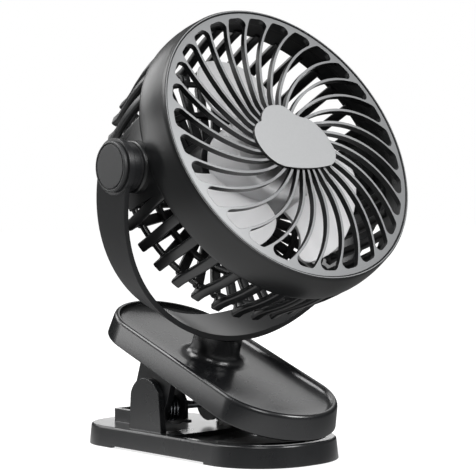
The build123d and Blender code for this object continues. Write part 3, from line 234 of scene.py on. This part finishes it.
def moulded_texture_group():
    """Fine grain as a height for bump, and wide clouds that change the colour and the gloss a little."""
    takes = (
        ("Vector", "Vector", None), ("Grain Scale", "Float", 1800.0), ("Cloud Scale", "Float", 40.0),
        ("Colour Change", "Float", 0.12), ("Gloss Change", "Float", 0.06),
        ("Colour", "Color", opaque((0.02, 0.02, 0.02))), ("Roughness", "Float", 0.4),
    )
    gives = (("Colour", "Color"), ("Roughness", "Float"), ("Height", "Float"))
    group, use, give = new_group("moulded_texture", takes, gives)
    place = use.outputs["Vector"]
    grain = add_node(group, "ShaderNodeTexNoise", Vector=place, Scale=use.outputs["Grain Scale"], Detail=2.0)
    cloud = add_node(group, "ShaderNodeTexNoise", Vector=place, Scale=use.outputs["Cloud Scale"], Detail=4.0)
    centred = add_node(group, "ShaderNodeMath", cloud.outputs["Fac"], 0.5, operation="SUBTRACT").outputs[0]
    shade = add_node(group, "ShaderNodeMath", centred, use.outputs["Colour Change"], 1.0,
                     operation="MULTIPLY_ADD")
    tint = add_node(group, "ShaderNodeVectorMath", use.outputs["Colour"], operation="SCALE",
                    Scale=shade.outputs[0])
    gloss = add_node(group, "ShaderNodeMath", centred, use.outputs["Gloss Change"],
                     use.outputs["Roughness"], operation="MULTIPLY_ADD")
    feed(group, give, Colour=tint.outputs[0], Roughness=gloss.outputs[0], Height=grain.outputs["Fac"])
    return group


def rounded_edges_group():
    """Normals that round the edges off, and a mask of the edges, which are painted lighter: partly wear, partly a
    painted highlight.
    """
    takes = (("Radius", "Float", 0.0004),)
    gives = (("Normal", "Vector"), ("Edge", "Float"))
    group, use, give = new_group("rounded_edges", takes, gives)
    bevel = add_node(group, "ShaderNodeBevel", Radius=use.outputs["Radius"])
    bevel.samples = 6
    flat = group.nodes.new("ShaderNodeNewGeometry")
    match = add_node(group, "ShaderNodeVectorMath", bevel.outputs["Normal"], flat.outputs["Normal"],
                     operation="DOT_PRODUCT")
    edge = ranged(group, match.outputs["Value"], reach=(0.985, 0.80), result=(0.0, 1.0), smooth=False)
    feed(group, give, Normal=bevel.outputs["Normal"], Edge=edge)
    return group


def front_paint_group():
    """Mask of the faces that look along an axis, as paint that is rolled on from the front."""
    takes = (("Normal", "Vector", None), ("Axis", "Vector", None))
    group, use, give = new_group("front_paint", takes, (("Mask", "Float"),))
    match = add_node(group, "ShaderNodeVectorMath", use.outputs["Normal"], use.outputs["Axis"],
                     operation="DOT_PRODUCT")
    feed(group, give, Mask=ranged(group, match.outputs["Value"], reach=(0.80, 0.90), result=(0.0, 1.0)))
    return group


moulded_texture = moulded_texture_group()
rounded_edges = rounded_edges_group()
front_paint = front_paint_group()


def moulded(name, colour, roughness, grain=0.00003, coat=0.0, metallic=0.0, scale=1800.0,
            edge=0.0004, edge_wear_and_sheen=1.6, change=0.12, glow=0.0):
    """Moulded plastic, rubber or metal: fine grain, rounded edges with a little polish, and edges painted lighter,
    partly as wear and partly as a painted highlight.
    """
    finish, tree, shader, place = new_finish(name)
    texture = place_group(tree, moulded_texture, Vector=place.outputs["Object"], Colour=opaque(colour),
                          Roughness=roughness, Grain_Scale=scale, Colour_Change=change)
    bump = add_node(tree, "ShaderNodeBump", Strength=0.35, Distance=grain, Height=texture.outputs["Height"])
    tone = texture.outputs["Colour"]
    gloss = texture.outputs["Roughness"]
    if edge > 0:
        rounded = place_group(tree, rounded_edges, Radius=edge)
        # Edges painted lighter: partly wear, partly a painted highlight along the rims.
        lighter = opaque(min(1.0, part * edge_wear_and_sheen + 0.004) for part in colour)
        tone = mixed(tree, rounded.outputs["Edge"], tone, lighter, kind="RGBA")
        gloss = mixed(tree, rounded.outputs["Edge"], gloss, roughness * 0.85)
        feed(tree, bump, Normal=rounded.outputs["Normal"])
    feed(tree, shader, Base_Color=tone, Roughness=gloss, Normal=bump.outputs["Normal"], Metallic=metallic,
         Coat_Weight=coat, Coat_Roughness=0.18, Subsurface_Weight=glow, Subsurface_Radius=(1, 1, 1),
         Subsurface_Scale=3 * mm)
    return finish


def painted_front(name, colour, paint):
    """Dark plastic whose faces towards the front carry a satin metallic paint."""
    finish = moulded(name, colour, 0.34, edge=0.0003)
    tree = finish.node_tree
    shader = next(node for node in tree.nodes if node.type == "BSDF_PRINCIPLED")
    place = next(node for node in tree.nodes if node.type == "TEX_COORD")
    front = place_group(tree, front_paint, Normal=place.outputs["Normal"], Axis=head_axis).outputs["Mask"]
    flakes = place_group(tree, moulded_texture, Vector=place.outputs["Object"], Colour=opaque(paint),
                         Roughness=0.45, Grain_Scale=9000.0, Cloud_Scale=900.0, Colour_Change=0.10,
                         Gloss_Change=0.10)
    dark = shader.inputs["Base Color"].links[0].from_socket
    gloss = shader.inputs["Roughness"].links[0].from_socket
    feed(tree, shader, Base_Color=mixed(tree, front, dark, flakes.outputs["Colour"], kind="RGBA"),
         Roughness=mixed(tree, front, gloss, flakes.outputs["Roughness"]),
         Metallic=mixed(tree, front, 0.0, 0.25))
    return finish


finishes = {
    "body_plastic": moulded("satin_black", (0.010, 0.0105, 0.0115), 0.35),
    "jaw_plastic": moulded("glossy_black", (0.009, 0.0095, 0.0105), 0.28, grain=0.0000004, scale=2500.0,
                           coat=0.3, edge=0.0008),
    "jaw_skin": moulded("jaw_skin_black", (0.009, 0.0095, 0.0105), 0.27, grain=0.0000003, scale=2500.0,
                        coat=0.3, edge=0.0),
    "housing_skin": moulded("housing_black", (0.0085, 0.009, 0.0095), 0.33, grain=0.000006, edge=0.0),
    "cage_plastic": moulded("cage_black", (0.0085, 0.009, 0.0095), 0.32, edge=0.0009),
    "yoke_plastic": moulded("yoke_black", (0.010, 0.0105, 0.0115), 0.34, edge=0.0006),
    "knob_plastic": moulded("knob_black", (0.028, 0.029, 0.030), 0.48),
    "grille_coat": painted_front("grille_silver", (0.008, 0.0085, 0.009), (0.27, 0.275, 0.28)),
    "badge_coat": painted_front("badge_silver", (0.02, 0.02, 0.02), (0.41, 0.415, 0.42)),
    "fan_plastic": moulded("fan_grey", (0.66, 0.66, 0.67), 0.38, edge_wear_and_sheen=1.1, edge=0.0006, change=0.05,
                           glow=0.45),
    "pad_rubber": moulded("pad_rubber", (0.013, 0.013, 0.014), 0.72),
    "steel": moulded("plain_steel", (0.55, 0.56, 0.58), 0.28, metallic=1.0, edge=0.0002),
    "spring_steel": moulded("spring_wire", (0.30, 0.31, 0.33), 0.25, metallic=1.0, edge=0.0002),
    "bush_brass": moulded("turned_brass", (0.70, 0.52, 0.25), 0.3, metallic=1.0, edge=0.0002),
    "nylon": moulded("black_nylon", (0.014, 0.014, 0.015), 0.5, edge=0.0003),
    "cell_wrap": moulded("cell_wrap", (0.03, 0.10, 0.28), 0.3),
    "board_green": moulded("board_green", (0.01, 0.09, 0.04), 0.35, edge=0.0001),
    "light_guide": moulded("light_guide", (0.75, 0.78, 0.80), 0.2, edge_wear_and_sheen=1.0, edge=0.0002),
    "switch_black": moulded("switch_black", (0.02, 0.02, 0.02), 0.5, edge=0.0002),
}
slot_of = {row["node"]: row["material_slot"] for row in frame["record"]["subparts"]}
for name, item in nodes.items():
    finish = finishes[slot_of[name]]
    if not item.material_slots:
        item.data.materials.append(finish)
    for material_slot in item.material_slots:
        material_slot.link = "OBJECT"
        material_slot.material = finish


# ---------------------------------------------------------------- shaping
# Outlines and steps are in millimetres. An outline's point is its distance from the axis it is
# turned about and its height along that axis. With no window, spin turns against its angle.
def select_only(*pieces):
    """Select these pieces and nothing else, with the first one active."""
    bpy.ops.object.select_all(action="DESELECT")
    for piece in pieces:
        piece.select_set(True)
    bpy.context.view_layer.objects.active = pieces[0]


def set_down(piece, place):
    """Move the one selected piece to a place, and keep the place in its mesh."""
    piece.matrix_world = place
    bpy.ops.object.transform_apply(location=True, rotation=True, scale=True)


def small_plane(name):
    """A plane one millimetre wide, in edit mode, with vertices to select."""
    bpy.ops.object.select_all(action="DESELECT")
    bpy.ops.mesh.primitive_plane_add(size=mm)
    piece = bpy.context.active_object
    piece.name = name
    bpy.ops.object.mode_set(mode="EDIT")
    bpy.ops.mesh.select_mode(type="VERT")
    return piece


def shift(across, along):
    """Move what is selected by a step in the XZ plane."""
    bpy.ops.transform.translate(value=(across * mm, 0, along * mm))


def extrude(across, along):
    """Extrude what is selected by a step in the XZ plane."""
    bpy.ops.mesh.extrude_region_move(TRANSFORM_OT_translate={"value": (across * mm, 0, along * mm)})


def merge_doubles():
    """Merge the vertices that lie on each other, and leave all of them selected."""
    bpy.ops.mesh.select_all(action="SELECT")
    bpy.ops.mesh.remove_doubles(threshold=merge_distance)


def settle(piece, place, angle=35):
    """Merge, turn the faces outwards, shade, and set the piece down in the object's frame."""
    merge_doubles()
    bpy.ops.mesh.normals_make_consistent(inside=False)
    bpy.ops.object.mode_set(mode="OBJECT")
    bpy.ops.object.shade_smooth_by_angle(angle=math.radians(angle))
    set_down(piece, place)
    return piece


def turned(name, outline, place, steps=144, angle=360.0, start=0.0):
    """A turned piece: its outline closed and spun about Z, in full, or in part with its ends filled."""
    piece = small_plane(name)
    bpy.ops.mesh.merge(type="CENTER")
    shift(*outline[0])
    for (x, z), (next_x, next_z) in zip(outline, (*outline[1:], outline[0])):
        extrude(next_x - x, next_z - z)
    merge_doubles()
    bpy.ops.mesh.spin(steps=steps, angle=math.radians(angle), center=(0, 0, 0), axis=(0, 0, 1))
    merge_doubles()
    if angle < 360:
        bpy.ops.mesh.fill_holes(sides=0)
    return settle(piece, place @ Matrix.Rotation(math.radians(start), 4, "Z"))


def trim(piece, place, away):
    """Cut a piece off along a plane, close it, and keep the side that the plane looks away from."""
    select_only(piece)
    bpy.ops.object.mode_set(mode="EDIT")
    bpy.ops.mesh.select_all(action="SELECT")
    bpy.ops.mesh.bisect(plane_co=place, plane_no=away, use_fill=True, clear_outer=True)
    settle(piece, Matrix.Identity(4))


def joined(name, pieces):
    """One piece made of several."""
    select_only(*pieces)
    bpy.ops.object.join()
    pieces[0].name = name
    return pieces[0]


def copies_round(piece, count, place):
    """Copies of a piece spaced evenly about the Z of a frame, each with its own mesh."""
    made = [piece]
    for number in range(1, count):
        select_only(piece)
        bpy.ops.object.duplicate(linked=False)
        copy = bpy.context.active_object
        turn = Matrix.Rotation(math.tau * number / count, 4, "Z")
        set_down(copy, place @ turn @ place.inverted())
        made.append(copy)
    return made


def finished(piece, finish, body):
    """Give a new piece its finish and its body."""
    piece.data.materials.clear()
    piece.data.materials.append(finishes[finish])
    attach(piece, body)


# ---------------------------------------------------------------- fan housing
band_outline = (
    (72.3, 29.75), (72.75, 29.6), (73.0, 29.2), (73.35, 27.5), (73.95, 24.5), (74.45, 21.5),
    (74.8, 18.0), (74.9, 15.0), (74.8, 12.0), (74.65, 10.8), (74.3, 10.2), (73.8, 10.0), (72.7, 10.0),
    (72.35, 10.3), (72.4, 14.0), (72.4, 17.5), (72.1, 20.5), (71.7, 22.8), (69.0, 22.8), (68.8, 23.0),
    (68.8, 24.6), (69.0, 24.8), (71.4, 24.8), (71.4, 29.4), (71.6, 29.7),
)
panel_outline = (
    (74.5, 11.5), (74.4, 7.0), (74.0, 2.5), (73.6, -1.5), (72.95, -6.0), (72.2, -10.5), (71.2, -15.0),
    (70.15, -18.5), (69.7, -19.6), (69.0, -20.0), (68.2, -19.9), (67.7, -19.3), (68.2, -17.0),
    (69.6, -11.0), (70.7, -5.0), (71.5, 1.0), (72.0, 7.0), (72.2, 11.5),
)
panel_spread = 30
panel_half_width = 18.6
panel_wide_end = 11.0
panel_cut_across = 0.985
panel_cut_along = -0.173
boss_outline = (
    (5.05, 69.0), (5.05, 76.7), (5.35, 77.0), (11.3, 77.0), (12.0, 76.75), (12.4, 76.2), (12.5, 75.4),
    (12.5, 69.0),
)
plate_outline = (
    (0.0, -27.9), (29.2, -27.9), (29.75, -28.15), (30.0, -28.7), (30.0, -30.7), (29.75, -31.25),
    (29.2, -31.5), (0.0, -31.5),
)
trim_outline = (
    (71.75, 29.6), (71.75, 29.85), (71.9, 30.0), (72.35, 30.0), (72.5, 29.85), (72.55, 29.6),
)

bar_count = 36
first_bar_turn = 5
bar_width = 3.3
bar_thickness = 5.0
bar_corner = 0.95
bar_front = (72.95, 13.0)
flank_steps = ((-0.3, -7), (-0.75, -7), (-1.2, -7), (-1.6, -7), (-1.2, -7), (0, -4.6))
knuckle_middle = (64.7, -26.6)
leg_step = (0, 0.9)
bend_middle = (59.6, -25.7)
bend_turn = -98
spoke_step = (-30.5, -4.4)


def side_panel(side):
    """The panel between the band and the cage beside one boss, cut narrower towards the rear."""
    middle_turn = 0 if side > 0 else 180
    panel = turned("side_panel", panel_outline, head_place, steps=12, angle=panel_spread,
                   start=middle_turn + panel_spread / 2)
    for edge in (-1, 1):
        corner = head_place @ Vector((0, edge * panel_half_width * mm, panel_wide_end * mm))
        away = head_place.to_3x3() @ Vector((0, edge * panel_cut_across, panel_cut_along))
        trim(panel, corner, away)
    return panel


def side_boss(side):
    """The round boss about the tilt axle on one side. Its frame is mirrored, so its faces look inwards."""
    axle_place = frame_at(head_middle, (0, -side, 0), (0, 0, 1), (side, 0, 0))
    return turned("side_boss", boss_outline, axle_place, steps=64)


def turn_about(middle, steps, angle):
    """Spin what is selected about a line along Y through a point of the XZ plane."""
    centre = (middle[0] * mm, 0, middle[1] * mm)
    bpy.ops.mesh.spin(steps=steps, angle=angle, center=centre, axis=(0, 1, 0))


def cage_bar():
    """One cage bar: down the flank, a knuckle that folds back to the front, a leg, a bend and a spoke."""
    piece = small_plane("cage_bar")
    bpy.ops.transform.resize(value=(bar_width, bar_thickness, 1))
    bpy.ops.mesh.bevel(offset=bar_corner * mm, segments=3, affect="VERTICES", profile=0.5)
    bpy.ops.mesh.select_all(action="SELECT")
    shift(*bar_front)
    for step in flank_steps:
        extrude(*step)
    turn_about(knuckle_middle, steps=10, angle=math.pi)
    extrude(*leg_step)
    turn_about(bend_middle, steps=5, angle=math.radians(bend_turn))
    extrude(*spoke_step)
    return settle(piece, head_place @ Matrix.Rotation(math.radians(first_bar_turn), 4, "Z"), angle=50)


def cage_ring(name, radius, height, half_width):
    """A ring across the bars: a flat bar with rounded corners, turned."""
    corner = ((half_width, 0.6), (half_width - 0.3, 1.2), (half_width - 0.9, 1.4))
    front = [*corner, *((-x, z) for x, z in reversed(corner))]
    rear = [(x, -z) for x, z in reversed(front)]
    return turned(name, [(radius + x, height + z) for x, z in front + rear], head_place)


fan_housing = joined("fan_housing", [
    turned("band", band_outline, head_place, steps=180),
    side_panel(1),
    side_panel(-1),
    side_boss(-1),
    side_boss(1),
    *copies_round(cage_bar(), bar_count, head_place),
    cage_ring("outer_ring", radius=61.8, height=-24.8, half_width=1.4),
    cage_ring("middle_ring", radius=45.0, height=-27.2, half_width=1.6),
    turned("hub_plate", plate_outline, head_place, steps=96),
])
finished(fan_housing, "housing_skin", "head")
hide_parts("rear_housing")

rim_trim = turned("rim_trim", trim_outline, head_place, steps=180)
finished(rim_trim, "grille_coat", "head")

# ---------------------------------------------------------------- upper jaw shell
# The jaw's own frame: its Z is the swivel's axis, and its Y runs from the tip to the handle's end.
jaw_half_width = 33.95
jaw_half_length = 75.35
jaw_wall = 1.5
jaw_up = Vector(joints["yoke_swivel"]["axis"])
jaw_along = Vector((0, jaw_up.z, -jaw_up.y))
jaw_tip = Vector((0, -0.0765, 0.0121))
jaw_place = frame_at(jaw_tip, (1, 0, 0), jaw_along, jaw_up)

# Steps inwards and up, from the underside over the rim and down into the dish.
jaw_steps = (
    (0.05, 0.35), (1.30, 9.25), (0.25, 0.85), (0.35, 0.65), (0.45, 0.45), (0.45, 0.22), (0.35, 0.05),
    (0.45, 0.0), (0.25, -0.10), (0.20, -0.30), (0.25, -0.75), (0.45, -0.80), (0.80, -0.70), (1.20, -0.55),
    (1.80, -0.45), (2.60, -0.30), (3.40, -0.15), (3.40, -0.02),
)

# Each opening in the right flank: half its width, half its length and its distance from the tip.
flank_openings = {
    "port_cut": (1.75, 4.6, 95.0),
    "light_cut": (1.1, 1.1, 103.5),
    "button_cut": (2.35, 4.65, 112.0),
}
opening_height = 5.05
cutter_start = 24
cutter_length = 14

post_distance = 81.5
post_outline = (
    (7.05, 3.0), (7.05, 21.2), (7.3, 21.5), (12.1, 21.5), (12.5, 21.1), (12.5, 14.0), (12.6, 12.6),
    (12.9, 11.4), (13.4, 10.3), (14.2, 9.3), (15.3, 8.5), (16.8, 7.95), (18.6, 7.72), (20.0, 7.66),
    (20.0, 6.6), (11.0, 6.0), (11.0, 3.0),
)


def select_where(piece, wanted):
    """Select the vertices of the piece in edit mode that a test on their place wants."""
    bpy.ops.mesh.select_all(action="DESELECT")
    bpy.ops.object.mode_set(mode="OBJECT")
    for vertex in piece.data.vertices:
        vertex.select = wanted(vertex.co)
    bpy.ops.object.mode_set(mode="EDIT")


def long_round(name, half_width, half_length, vertices=96):
    """A flat face with straight sides and half-round ends, in edit mode and selected."""
    bpy.ops.object.select_all(action="DESELECT")
    bpy.ops.mesh.primitive_circle_add(vertices=vertices, radius=half_width * mm, fill_type="NGON")
    piece = bpy.context.active_object
    piece.name = name
    bpy.ops.object.mode_set(mode="EDIT")
    bpy.ops.mesh.select_mode(type="VERT")
    for side in (-1, 1):
        select_where(piece, lambda place: side * place.y > 0.1 * mm)
        bpy.ops.transform.translate(value=(0, side * (half_length - half_width) * mm, 0))
    bpy.ops.mesh.select_all(action="SELECT")
    bpy.ops.mesh.select_mode(type="FACE")
    return piece


def cut_away(piece, cutter):
    """Take a cutter's shape out of a piece and remove the cutter."""
    select_only(piece)
    cut = piece.modifiers.new("cut", "BOOLEAN")
    cut.operation = "DIFFERENCE"
    cut.object = cutter
    bpy.ops.object.modifier_apply(modifier="cut")
    bpy.data.objects.remove(cutter)


def jaw_shell():
    """The dished shell: one long round face stepped inwards, given a wall and its three openings."""
    shell = long_round("jaw_skin", jaw_half_width, jaw_half_length)
    for thickness, depth in jaw_steps:
        bpy.ops.mesh.inset(thickness=thickness * mm, depth=depth * mm)
    bpy.ops.mesh.select_all(action="SELECT")
    bpy.ops.mesh.normals_make_consistent(inside=False)
    settle(shell, Matrix.Identity(4), angle=30)
    select_only(shell)
    wall = shell.modifiers.new("wall", "SOLIDIFY")
    wall.thickness = jaw_wall * mm
    wall.offset = -1
    bpy.ops.object.modifier_apply(modifier="wall")
    for name, (half_width, half_length, distance) in flank_openings.items():
        cutter = long_round(name, half_width, half_length, vertices=32)
        extrude(0, cutter_length)
        start = Vector((cutter_start, distance - jaw_half_length, opening_height)) * mm
        settle(cutter, frame_at(start, (0, 0, -1), (0, 1, 0), (1, 0, 0)))
        cut_away(shell, cutter)
    select_only(shell)
    set_down(shell, jaw_place @ Matrix.Translation((0, jaw_half_length * mm, 0)))
    return shell


def swivel_post():
    """The hollow post that the yoke turns on, with the round foot that runs out into the dish."""
    post_place = jaw_place @ Matrix.Translation((0, post_distance * mm, 0))
    return turned("post", post_outline, post_place, steps=96)


jaw_skin = joined("upper_jaw_skin", [jaw_shell(), swivel_post()])
finished(jaw_skin, "jaw_skin", "upper_jaw")
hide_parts("jaw_shell")
